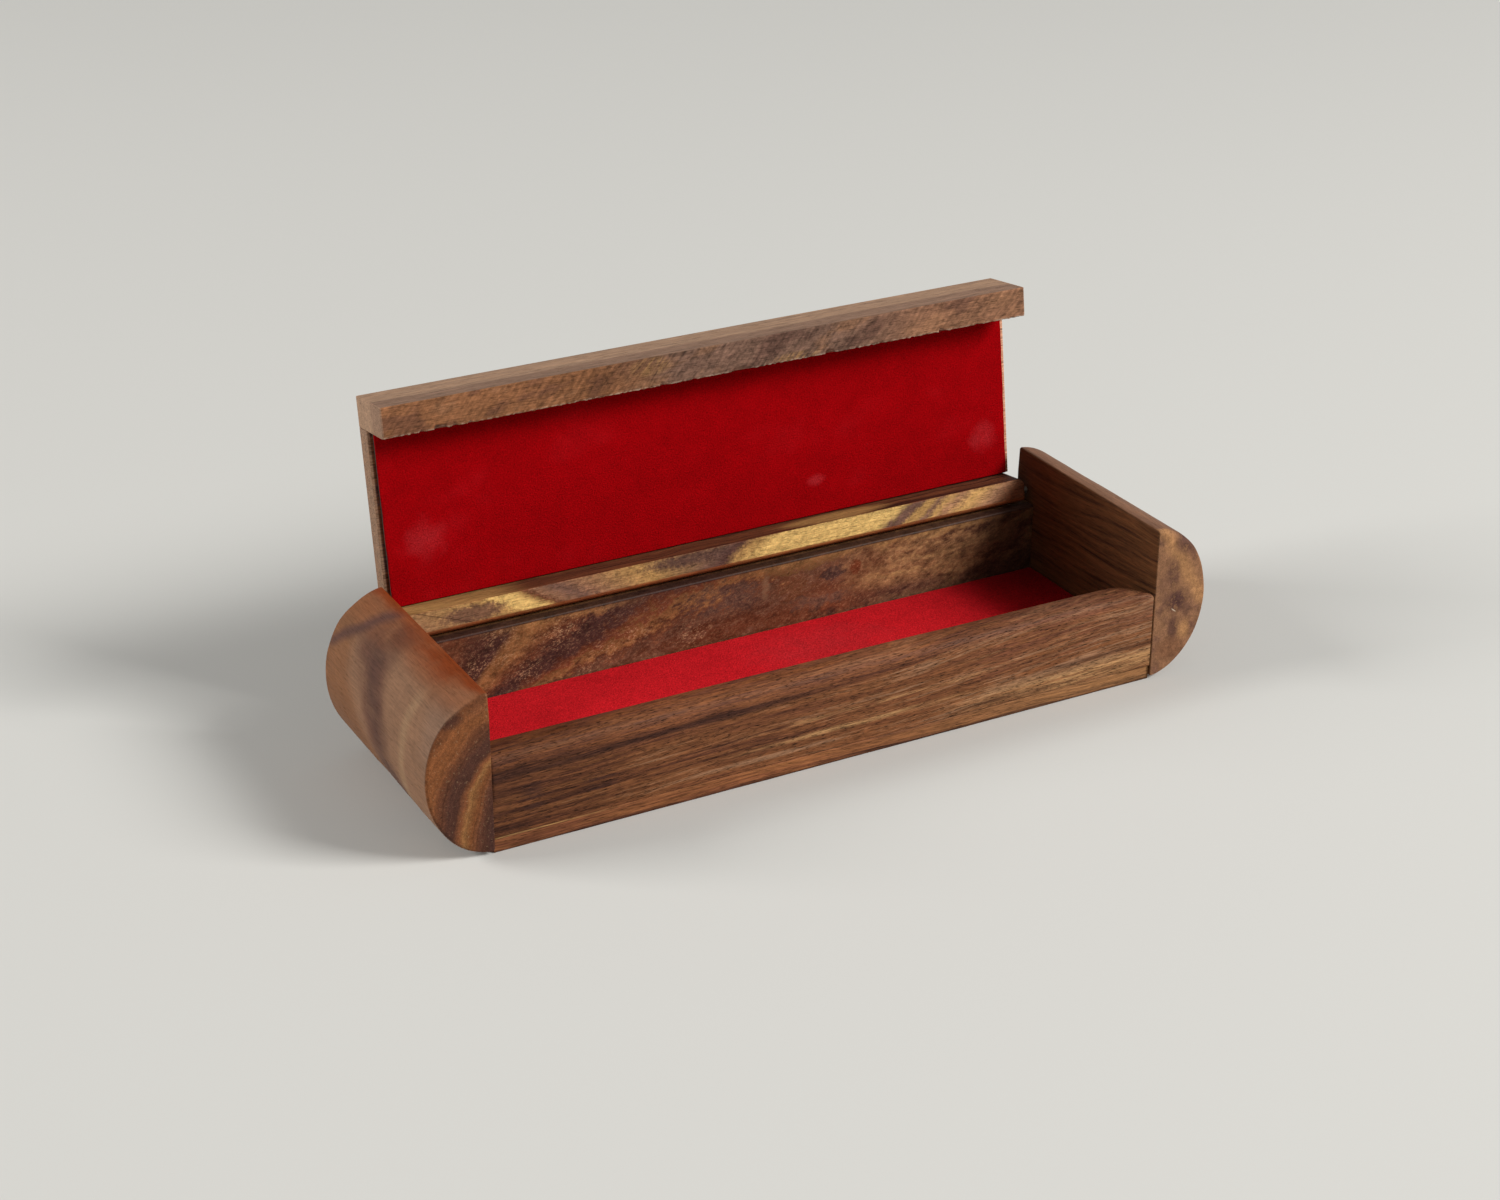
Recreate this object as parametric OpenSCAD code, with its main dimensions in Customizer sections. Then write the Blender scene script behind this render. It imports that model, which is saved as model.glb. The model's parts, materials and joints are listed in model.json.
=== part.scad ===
// Wooden pen box with half-round end blocks and a lid that turns on two hidden pins.
// X runs along the box, the front faces -Y, and Z is up. The origin is the middle of the underside.
// The lid is drawn open, resting back on the top edge of the back panel.

/* [Box] */
// Length between the inner faces of the end blocks
inner_length = 189; // [150:1:230]
// Depth of the end blocks, front to back
box_depth = 65.5; // [56:0.5:80]
// Height of the top of the end blocks above the underside
box_height = 43; // [39:0.5:51]
// How far each end block swells out past its inner face
block_swell = 16.5; // [14:0.5:22]
// How far the end blocks' lowest line sits above the underside of the bottom board
block_lift = 1; // [0:0.1:1.5]
// Thickness of the front panel
front_panel_t = 10.5; // [9:0.5:12]
// Thickness of the back panel
back_panel_t = 7.6; // [6.5:0.1:10]
// How far the panels' outer faces sit behind the end blocks' faces
panel_set_in = 0.7; // [0:0.1:1.5]
// Thickness of the bottom board
bottom_t = 4; // [3:0.5:6]
// Radius of the crown along the top of the front panel
crown_r = 18; // [14:1:30]
// Distance of the crown's highest line behind the front panel's face
crown_back = 2.5; // [1:0.5:5]

/* [Lid] */
// Gap between each end of the lid and the end block
lid_side_gap = 1.7; // [0.5:0.1:3]
// How far the closed lid's front sits behind the end blocks' front faces
lid_front_set_in = 2.9; // [1.5:0.1:4]
// How far the closed lid's back sits in front of the end blocks' back faces
lid_back_set_in = 1.6; // [1:0.1:3]
// How far the closed lid's top sits below the top of the end blocks
lid_drop = 0.2; // [0:0.1:1]
// Thickness of the lid panel
lid_panel_t = 5; // [3.5:0.1:6]
// Thickness of the lip strip, front to back
lip_t = 8; // [6:0.5:10]
// Depth of the lip strip below the lid's top
lip_depth = 16.3; // [14:0.1:18]
// Thickness of the rear rail, front to back
rail_t = 6.7; // [6:0.1:8]
// Depth of the rear rail below the lid's top
rail_depth = 13.3; // [12:0.1:15]
// Radius of the rail's lower back corner, which turns past the back panel
rail_corner_r = 1.3; // [0.8:0.1:1.8]
// Gap between the closed lip and the front panel
close_gap = 0.5; // [0.3:0.1:1]
// Angle that the lid stands open from closed
open_angle = 98; // [94:1:104]

/* [Lid joints] */
// Thickness of the tongues along the lid panel's long edges
tongue_t = 1.6; // [1.2:0.1:2]
// Length of the tongues into their grooves
tongue_l = 3; // [2:0.5:4]
// Distance that tongues and grooves stop short of the lid's ends
tongue_stop = 6; // [4:1:12]
// Gap past the end of a tongue in its groove
tongue_gap = 0.3; // [0.2:0.1:0.8]

/* [Hinge] */
// Diameter of the hinge pins
pin_d = 2; // [1.6:0.1:2.4]
// Height of the pins' axis above the rear rail's lower edge
pin_up = 2.3; // [2:0.1:3]
// Distance of the pins' axis in front of the rear rail's back face
pin_in = 2.6; // [2.2:0.1:3.3]
// Length of each pin inside its end block
pin_in_block = 8; // [5:0.5:9]
// Length of each pin inside the rear rail
pin_in_rail = 8; // [5:0.5:14]
// Clearance round the pin in the rail's bore
pin_play = 0.05; // [0.03:0.01:0.09]
// Gap past the pin's end in the rail's bore
pin_end_gap = 0.5; // [0.3:0.1:1]
// Gap that the rail's corner and face keep to the back panel's top edge
turn_gap = 0.3; // [0.2:0.1:0.8]

/* [Linings] */
// Thickness of the raised floor board
floor_board_t = 4.6; // [3:0.2:7]
// Thickness of the card behind the velvet
card_t = 0.5; // [0.4:0.1:1]
// Thickness of the velvet, nap included
velvet_t = 0.7; // [0.5:0.1:1.2]
// Gap round the floor board and the floor lining
floor_fit = 0.2; // [0.1:0.1:0.5]
// Gap between the lid's lining and the strips in front of and behind it
lid_lining_fit = 0.3; // [0.2:0.1:0.8]
// Bare wood left at each end of the lid's lining
lid_lining_margin = 1.4; // [0.8:0.1:4]

/* [Fasteners] */
// Diameter of the wooden dowels between panels and blocks
dowel_d = 4; // [3:0.5:5]
// Length of a dowel inside the end block
dowel_in_block = 8; // [6:0.5:9]
// Length of a dowel inside the panel
dowel_in_panel = 11; // [8:0.5:16]
// Gap past each end of a dowel
dowel_end_gap = 0.5; // [0.3:0.1:1]
// Number of brads along each panel
brads_per_panel = 4; // [2:1:8]
// Diameter of a brad's shank
brad_d = 1.2; // [1:0.1:1.6]
// Length of a brad with its head
brad_l = 14; // [11:0.5:16]
// Diameter of a brad's head
brad_head_d = 2.4; // [2:0.1:3]
// Thickness of a brad's head
brad_head_t = 0.6; // [0.4:0.1:0.8]
// Distance from a block to the middle of the nearest brad
brad_margin = 16; // [14:1:24]

/* [Hidden] */
$fn = 48;

// Faces that make up the half-ellipse of an end block, and how far a cutter runs past a face
outline_steps = 64;
cut = 1;

// Places along X, then along Y
half_l = inner_length / 2;
lid_half_l = half_l - lid_side_gap;
front_y = -box_depth / 2;
back_y = box_depth / 2;
panel_front_y = front_y + panel_set_in;
panel_back_y = back_y - panel_set_in;
front_inner_y = panel_front_y + front_panel_t;
back_inner_y = panel_back_y - back_panel_t;
lid_front_y = front_y + lid_front_set_in;
lid_back_y = back_y - lid_back_set_in;
lip_inner_y = lid_front_y + lip_t;
rail_inner_y = lid_back_y - rail_t;

// Heights with the lid closed
lid_top_z = box_height - lid_drop;
lid_under_z = lid_top_z - lid_panel_t;
lip_bottom_z = lid_top_z - lip_depth;
rail_bottom_z = lid_top_z - rail_depth;
front_top_z = lip_bottom_z - close_gap;
floor_card_z = bottom_t + floor_board_t;
floor_velvet_z = floor_card_z + card_t;

// The hinge axis, and how far the lid leans past upright
pin_y = lid_back_y - pin_in;
pin_z = rail_bottom_z + pin_up;
lean = open_angle - 90;

// The back panel is low enough for the turning corner and for the face of the open rail
corner_reach = norm([pin_in - rail_corner_r, pin_up - rail_corner_r]) + rail_corner_r;
corner_top_z = pin_z - corner_reach - turn_gap;
stop_top_z = pin_z - pin_in / cos(lean) - (panel_back_y - pin_y) * tan(lean) - turn_gap / 2;
back_top_z = min(corner_top_z, stop_top_z);

// A block between two corners
module slab(low, high) {
    translate(low) cube(high - low);
}

// A round bar along X from one place to another
module bar_x(x0, x1, y, z, d) {
    translate([x0, y, z]) rotate([0, 90, 0]) cylinder(h = x1 - x0, d = d);
}

// Turns what is drawn in the closed lid's place to where the open lid stands
module opened() {
    translate([0, pin_y, pin_z]) rotate([-open_angle, 0, 0]) translate([0, -pin_y, -pin_z]) children();
}

// Heights of the two dowels at one end of a panel
function dowel_heights(top_z) = [for (share = [1 / 4, 3 / 4]) bottom_t + (top_z - bottom_t) * share];

// The four dowels of a panel, or their holes when they are made longer by a gap
module panel_dowels(mid_y, top_z, gap) {
    for (side = [0, 1], z = dowel_heights(top_z)) mirror([side, 0, 0])
        bar_x(half_l - dowel_in_panel - gap, half_l + dowel_in_block + gap, mid_y, z, dowel_d);
}
module front_dowel_set(gap = 0) {
    panel_dowels((panel_front_y + front_inner_y) / 2, front_top_z, gap);
}
module back_dowel_set(gap = 0) {
    panel_dowels((panel_back_y + back_inner_y) / 2, back_top_z, gap);
}

// The right-hand hinge pin, fast in the block and loose in the rail
module hinge_pin(in_rail, d) {
    bar_x(lid_half_l - in_rail, half_l + pin_in_block, pin_y, pin_z, d);
}

// The brads through the bottom board, made from the underside up
module brad_set() {
    reach = half_l - brad_margin;
    for (y = [(panel_front_y + front_inner_y) / 2, (panel_back_y + back_inner_y) / 2], i = [0 : brads_per_panel - 1])
        translate([-reach + 2 * reach * i / (brads_per_panel - 1), y, 0]) {
            cylinder(h = brad_l, d = brad_d);
            cylinder(h = brad_head_t, d = brad_head_d);
        }
}

// End blocks
module block_outline() {
    half_h = (box_height - block_lift) / 2;
    polygon([for (i = [0 : outline_steps]) let (a = -90 + 180 * i / outline_steps)
        [block_swell * cos(a), block_lift + half_h * (1 + sin(a))]]);
}
module end_block() {
    difference() {
        translate([half_l, 0, 0]) rotate([90, 0, 0])
            linear_extrude(height = box_depth, center = true) block_outline();
        front_dowel_set(dowel_end_gap);
        back_dowel_set(dowel_end_gap);
        hinge_pin(cut, pin_d);
    }
}
module right_end_block() {
    color("#5A3420") end_block();
}
module left_end_block() {
    color("#6A4230") mirror([1, 0, 0]) end_block();
}

// Box between the blocks
module front_panel() {
    crest_y = panel_front_y + crown_back;
    crown_z = front_top_z - crown_r;
    color("#6B4228") difference() {
        intersection() {
            slab([-half_l, panel_front_y, bottom_t], [half_l, front_inner_y, front_top_z]);
            union() {
                bar_x(-half_l - cut, half_l + cut, crest_y, crown_z, 2 * crown_r);
                slab([-half_l - cut, panel_front_y - cut, min(crown_z, bottom_t) - cut],
                     [half_l + cut, front_inner_y + cut, max(crown_z, bottom_t + cut)]);
            }
        }
        front_dowel_set(dowel_end_gap);
        brad_set();
    }
}
module back_panel() {
    color("#5E4530") difference() {
        slab([-half_l, back_inner_y, bottom_t], [half_l, panel_back_y, back_top_z]);
        back_dowel_set(dowel_end_gap);
        brad_set();
    }
}
module bottom_board() {
    color("#7A5230") difference() {
        slab([-half_l, panel_front_y, 0], [half_l, panel_back_y, bottom_t]);
        brad_set();
    }
}

// A layer of the floor, from one height to another
module floor_layer(z0, z1) {
    slab([-half_l + floor_fit, front_inner_y + floor_fit, z0], [half_l - floor_fit, back_inner_y - floor_fit, z1]);
}
module floor_board() {
    color("#B08A5C") floor_layer(bottom_t, floor_card_z);
}
module floor_card() {
    color("#8C8478") floor_layer(floor_card_z, floor_velvet_z);
}
module floor_lining() {
    color("#B0181E") floor_layer(floor_velvet_z, floor_velvet_z + velvet_t);
}

// Lid: the panel's tongues, or their grooves when they are made longer by a gap
module tongues(gap) {
    mid_z = lid_top_z - lid_panel_t / 2;
    slab([-lid_half_l + tongue_stop, lip_inner_y - tongue_l - gap, mid_z - tongue_t / 2],
         [lid_half_l - tongue_stop, rail_inner_y + tongue_l + gap, mid_z + tongue_t / 2]);
}
module lid_panel() {
    color("#7B5A48") opened() {
        slab([-lid_half_l, lip_inner_y, lid_under_z], [lid_half_l, rail_inner_y, lid_top_z]);
        tongues(0);
    }
}
module lid_front_lip() {
    color("#7A5240") opened() difference() {
        slab([-lid_half_l, lid_front_y, lip_bottom_z], [lid_half_l, lip_inner_y, lid_top_z]);
        tongues(tongue_gap);
    }
}
module lid_rear_rail() {
    corner_y = lid_back_y - rail_corner_r;
    corner_z = rail_bottom_z + rail_corner_r;
    color("#A07838") opened() difference() {
        slab([-lid_half_l, rail_inner_y, rail_bottom_z], [lid_half_l, lid_back_y, lid_top_z]);
        difference() {
            slab([-lid_half_l - cut, corner_y, rail_bottom_z - cut], [lid_half_l + cut, lid_back_y + cut, corner_z]);
            bar_x(-lid_half_l - 2 * cut, lid_half_l + 2 * cut, corner_y, corner_z, 2 * rail_corner_r);
        }
        tongues(tongue_gap);
        for (side = [0, 1]) mirror([side, 0, 0]) hinge_pin(pin_in_rail + pin_end_gap, pin_d + 2 * pin_play);
    }
}

// A layer of the lid's lining, from one height to another with the lid closed
module lid_layer(z0, z1) {
    opened() slab([-lid_half_l + lid_lining_margin, lip_inner_y + lid_lining_fit, z0],
                  [lid_half_l - lid_lining_margin, rail_inner_y - lid_lining_fit, z1]);
}
module lid_card() {
    color("#4A3A34") lid_layer(lid_under_z - card_t, lid_under_z);
}
module lid_lining() {
    color("#98060E") lid_layer(lid_under_z - card_t - velvet_t, lid_under_z - card_t);
}

// Pins and fasteners
module right_hinge_pin() {
    color("silver") hinge_pin(pin_in_rail, pin_d);
}
module left_hinge_pin() {
    color("silver") mirror([1, 0, 0]) hinge_pin(pin_in_rail, pin_d);
}
module front_panel_dowels() {
    color("#C8A070") front_dowel_set();
}
module back_panel_dowels() {
    color("#C8A070") back_dowel_set();
}
module bottom_brads() {
    color("silver") brad_set();
}

left_end_block();
right_end_block();
front_panel();
back_panel();
bottom_board();
floor_board();
floor_card();
floor_lining();
lid_panel();
lid_front_lip();
lid_rear_rail();
lid_card();
lid_lining();
left_hinge_pin();
right_hinge_pin();
front_panel_dowels();
back_panel_dowels();
bottom_brads();
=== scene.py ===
import json
import math
from itertools import product

import bpy
from mathutils import Matrix, Vector, noise


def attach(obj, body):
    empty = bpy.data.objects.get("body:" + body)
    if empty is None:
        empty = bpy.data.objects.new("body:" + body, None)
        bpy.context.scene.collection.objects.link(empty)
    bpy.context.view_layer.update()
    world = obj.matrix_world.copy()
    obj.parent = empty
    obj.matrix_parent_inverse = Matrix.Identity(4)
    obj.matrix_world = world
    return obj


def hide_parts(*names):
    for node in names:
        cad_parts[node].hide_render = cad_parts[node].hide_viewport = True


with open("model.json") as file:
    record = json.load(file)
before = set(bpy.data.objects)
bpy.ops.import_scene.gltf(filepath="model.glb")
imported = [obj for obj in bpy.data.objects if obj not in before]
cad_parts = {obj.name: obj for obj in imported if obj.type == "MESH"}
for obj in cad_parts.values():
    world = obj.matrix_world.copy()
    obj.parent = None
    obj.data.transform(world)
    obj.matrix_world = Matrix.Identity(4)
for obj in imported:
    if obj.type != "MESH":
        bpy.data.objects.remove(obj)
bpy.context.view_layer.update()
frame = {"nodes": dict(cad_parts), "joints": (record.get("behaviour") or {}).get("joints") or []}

bl_info = {
    "name": "Wooden pen box",
    "version": (1, 0, 0),
    "blender": (4, 5, 0),
    "location": "3D View > Sidebar > Pen Box",
    "description": "Dresses the pen box in rosewood and red velvet and sets up its studio",
    "category": "Object",
}

# Lengths are written in millimetres, and Blender works in metres
MM = 0.001

# The lid's pieces are built as if the lid were shut, and then turned to where it stands open
HINGE = next(joint for joint in frame["joints"] if joint["name"] == "lid_hinge")
PIN = Vector(HINGE["pos_m"])
LID_ANGLE = math.radians(max(HINGE["range_deg"]))
LID_OPEN = Matrix.Translation(PIN) @ Matrix.Rotation(-LID_ANGLE, 4, "X") @ Matrix.Translation(-PIN)


def box_mm(node):
    """Corners of a node in millimetres, as they are with the lid shut."""
    shut = LID_OPEN.inverted() if node.startswith("lid_") else Matrix()
    points = [shut @ vertex.co for vertex in frame["nodes"][node].data.vertices]
    low, high = [Vector(pick(point[axis] for point in points) for axis in range(3)) for pick in (min, max)]
    return low / MM, high / MM


# What a user would change

def length_setting(name, description, default, least, most):
    """A length that is given here in millimetres."""
    return number_setting(name, description, default * MM, min=least * MM, max=most * MM,
                          unit="LENGTH", precision=5)


def colour_setting(name, description, default):
    return bpy.props.FloatVectorProperty(
        name=name, description=description, default=default, subtype="COLOR", min=0, max=1)


def number_setting(name, description, default, **limits):
    return bpy.props.FloatProperty(name=name, description=description, default=default, **limits)


class PenBoxShape(bpy.types.PropertyGroup):
    arris: length_setting("Eased edges", "Radius to which the back panel's edges are sanded", 0.5, 0.1, 1.5)
    round_over: length_setting(
        "Round over", "Radius at which the front panel's face runs over into its top", 4, 1, 5)
    block_rim: length_setting("Block rim", "Radius of the rim of each end block's curved side", 0.8, 0.3, 2)
    block_corner: length_setting(
        "Block corner", "Radius of that rim where it comes up to the top", 2.4, 0.5, 4)
    chip: length_setting(
        "Chips", "Depth of the deepest chip along the sawn edge of the lid's lip", 0.9, 0, 1.5)


class PenBoxColours(bpy.types.PropertyGroup):
    dark: colour_setting("Dark wood", "Darkest bands of the heartwood", (0.042, 0.016, 0.011))
    purple: colour_setting("Purple wood", "Purple-brown heartwood", (0.098, 0.044, 0.036))
    brown: colour_setting("Brown wood", "Plain brown heartwood", (0.135, 0.047, 0.022))
    golden: colour_setting("Golden wood", "Golden-brown bands", (0.215, 0.084, 0.031))
    orange: colour_setting("Orange wood", "Orange-brown glow along edges", (0.25, 0.06, 0.017))
    sapwood: colour_setting("Sapwood", "Pale yellow sapwood of the rear rail", (0.72, 0.49, 0.17))
    tan: colour_setting("End grain", "Pale grey-brown of sawn ends and raised fibres", (0.34, 0.21, 0.135))
    # The two velvets are one fabric: the floor's lighter red is partly painted light, a lit copy of the
    # lid's darker red
    velvet: colour_setting("Lid velvet", "Red of the velvet in the lid", (0.325, 0.001, 0.003))
    floor_velvet: colour_setting("Floor velvet", "Red of the velvet on the floor", (0.62, 0.013, 0.02))
    rubbed: colour_setting("Rubbed velvet", "Red of the velvet where it is rubbed", (0.56, 0.045, 0.055))
    card: colour_setting("Card", "Grey card behind the velvet", (0.06, 0.045, 0.04))
    floor: colour_setting("Studio floor", "Pale floor and background of the studio", (0.68, 0.682, 0.66))


class PenBoxStudio(bpy.types.PropertyGroup):
    lens: number_setting("Lens", "Focal length on a sensor 36 mm wide", 65.87, min=20, max=200)
    azimuth: number_setting(
        "Azimuth", "Turn of the camera's view to the right of the box's depth", math.radians(28.504),
        subtype="ANGLE")
    elevation: number_setting(
        "Elevation", "Slope of the camera's view below level", math.radians(25.644), subtype="ANGLE")
    place: bpy.props.FloatVectorProperty(
        name="Place", description="Where the camera stands",
        default=(-308.1 * MM, -552 * MM, 334.7 * MM), unit="LENGTH")
    key: number_setting(
        "Key light", "Power of the large lamp above and to the right", 89, min=0, unit="POWER")
    fill: number_setting(
        "Fill light", "Power of the large lamp behind and to the left", 52, min=0, unit="POWER")
    sky: number_setting("Sky", "Strength of the even light from all round", 0.19, min=0)


def settings():
    """The three groups of settings, as they stand in the scene."""
    scene = bpy.context.scene
    return scene.pen_box_shape, scene.pen_box_colours, scene.pen_box_studio


# Shader maths

def sum_of(operation, swapped=False):
    """An operator of Link, which adds one Math node."""
    def operator(self, *others):
        values = (*others, self) if swapped else (self, *others)
        return self.nodes.add("ShaderNodeMath", {"operation": operation}, dict(enumerate(values)))
    return operator


class Link:
    """A socket of a finish's nodes that can stand in a sum."""

    def __init__(self, nodes, socket):
        self.nodes, self.socket = nodes, socket

    __add__ = sum_of("ADD")
    __radd__ = sum_of("ADD", swapped=True)
    __sub__ = sum_of("SUBTRACT")
    __rsub__ = sum_of("SUBTRACT", swapped=True)
    __mul__ = sum_of("MULTIPLY")
    __rmul__ = sum_of("MULTIPLY", swapped=True)
    __truediv__ = sum_of("DIVIDE")
    __rtruediv__ = sum_of("DIVIDE", swapped=True)
    __pow__ = sum_of("POWER")
    __rpow__ = sum_of("POWER", swapped=True)
    __abs__ = sum_of("ABSOLUTE")
    at_least = sum_of("MAXIMUM")


class Nodes:
    """The nodes of a material or of the world."""

    def __init__(self, tree):
        self.tree = tree
        tree.nodes.clear()

    def add(self, kind, settings=None, sockets=None, output=0):
        """Adds a node: its settings first, then the values or links of its sockets."""
        node = self.tree.nodes.new(kind)
        for name, value in (settings or {}).items():
            if name == "stops":
                self.fill_ramp(node.color_ramp, value)
            else:
                setattr(node, name, value)
        for name, value in (sockets or {}).items():
            if isinstance(value, Link):
                self.tree.links.new(value.socket, node.inputs[name])
            else:
                node.inputs[name].default_value = value
        return Link(self, node.outputs[output]) if len(node.outputs) else node

    @staticmethod
    def fill_ramp(ramp, stops):
        while len(ramp.elements) < len(stops):
            ramp.elements.new(1)
        for element, (position, colour) in zip(ramp.elements, stops):
            element.position = position
            element.color = (*colour, 1)


class Finish(Nodes):
    """A material and its nodes, measured in millimetres along the piece."""

    def __init__(self, name):
        self.material = bpy.data.materials.new(name)
        self.material.use_nodes = True
        super().__init__(self.material.node_tree)
        place = self.add("ShaderNodeTexCoord", output="Object")
        place = self.add("ShaderNodeVectorMath", {"operation": "SCALE"}, {0: place, 3: 1 / MM})
        parts = self.add("ShaderNodeSeparateXYZ", None, {0: place}).socket.node.outputs
        self.x, self.y, self.z = [Link(self, part) for part in parts]

    def join(self, x, y, z):
        return self.add("ShaderNodeCombineXYZ", None, {0: x, 1: y, 2: z})

    def cloud(self, x, y, z, detail=2, rough=0.5):
        """Soft noise from 0 to 1 about 0.5, at a place already scaled."""
        return self.add("ShaderNodeTexNoise", None, {
            "Vector": self.join(x, y, z), "Scale": 1, "Detail": detail, "Roughness": rough})

    def haze(self, across, deep=None, high=None, **look):
        """The same at a place on the piece, scaled along X, Y and Z, or alike along all three."""
        return self.cloud(self.x * across, self.y * (deep or across), self.z * (high or across), **look)

    def rise(self, value, low, high):
        """0 below low, 1 above high; falls where low is above high."""
        ends = (low, high, 0, 1) if low <= high else (high, low, 1, 0)
        sockets = dict(zip(("Value", "From Min", "From Max", "To Min", "To Max"), (value, *ends)))
        return self.add("ShaderNodeMapRange", {"interpolation_type": "SMOOTHSTEP"}, sockets)

    def band(self, value, centre, half, soft):
        """1 within half of centre, and 0 further out than half and soft."""
        return self.rise(abs(value - centre), half + soft, max(0, half - soft))

    def spot(self, centre, size, wander=0, soft=0):
        """1 at a place on the piece, and 0 outside an ellipsoid of that size; wander roughens its edge."""
        a, b, c = [((value - middle) / reach) ** 2 for value, middle, reach in
                   zip((self.x, self.y, self.z), centre, size)]
        return self.rise(a + b + c + wander, 1, soft)

    def lay(self, colour, *coats):
        """A colour with others laid over it in turn, each by a share from 0 to 1."""
        for share, over in coats:
            below, above = [(*c, 1) if isinstance(c, tuple) else c for c in (colour, over)]
            colour = self.add("ShaderNodeMix", {"data_type": "RGBA", "clamp_factor": True}, {
                0: share, 6: below, 7: above}, output=2)
        return colour

    def shade(self, colour, light):
        """A colour made lighter or darker by a plain number about 1."""
        return self.add("ShaderNodeVectorMath", {"operation": "SCALE"}, {0: colour, 3: light})

    def ramp(self, value, stops, start=0, reach=1):
        """Colours at places along a value that goes from start over a reach."""
        value = value - start if start else value
        value = value / reach if reach != 1 else value
        stops = [((place - start) / reach, colour) for place, colour in stops.items()]
        return self.add("ShaderNodeValToRGB", {"stops": stops}, {0: value})

    def surface(self, sockets, height=None, relief=0):
        """Ends the nodes in one shader; a height from 0 to 1 stands up by a relief in millimetres."""
        if height is not None:
            bump = {"Strength": 1, "Distance": relief * MM, "Height": height}
            sockets["Normal"] = self.add("ShaderNodeBump", None, bump)
        shader = self.add("ShaderNodeBsdfPrincipled", None, sockets)
        self.add("ShaderNodeOutputMaterial", None, {"Surface": shader})
        return self.material


# Woods, cloth and the other finishes

def mix(first, second, share=0.5):
    """A colour that lies between two others."""
    return tuple(a + (b - a) * share for a, b in zip(first, second))


def tones(names):
    """The settings' colours of these names, as plain numbers."""
    return [tuple(getattr(settings()[1], name)) for name in names.split()]


def new_finish(name):
    """A finish, which is called f for short below, and the place on it along X, Y and Z."""
    f = Finish(name)
    return f, f.x, f.y, f.z


def oiled_wood(f, colour, along, across, depth, fibre=1, pores=1, relief=0.05, gloss=0.55, height=None):
    """Lays fibres and open pores over a wood colour; along, across and depth follow the grain."""
    streak = f.cloud(along * 0.022, across * 0.62, depth * 0.62, detail=3, rough=0.6)
    line = f.cloud(along * 0.11 + 5, across * 1.9, depth * 1.9, detail=3, rough=0.7)
    hair = f.cloud(along * 0.3 + 9, across * 4.2, depth * 4.2)
    pore = f.rise(f.cloud(along * 0.4, across * 3.4, depth * 3.4, detail=1), 0.59, 0.68)
    light = (1 + (streak - 0.5) * (fibre * 1.2) + (line - 0.5) * (fibre * 2.2)
             + (hair - 0.5) * (fibre * 1.8) - pore * (0.4 * pores))
    lie = line * 0.4 + hair * 0.4 - pore * pores
    if height is not None:
        lie = lie + height
    return f.surface({"Base Color": f.shade(colour, light), "Specular IOR Level": 0.08,
                      "Roughness": gloss + (streak - 0.5) * 0.2 + pore * 0.12}, lie, relief)


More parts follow.
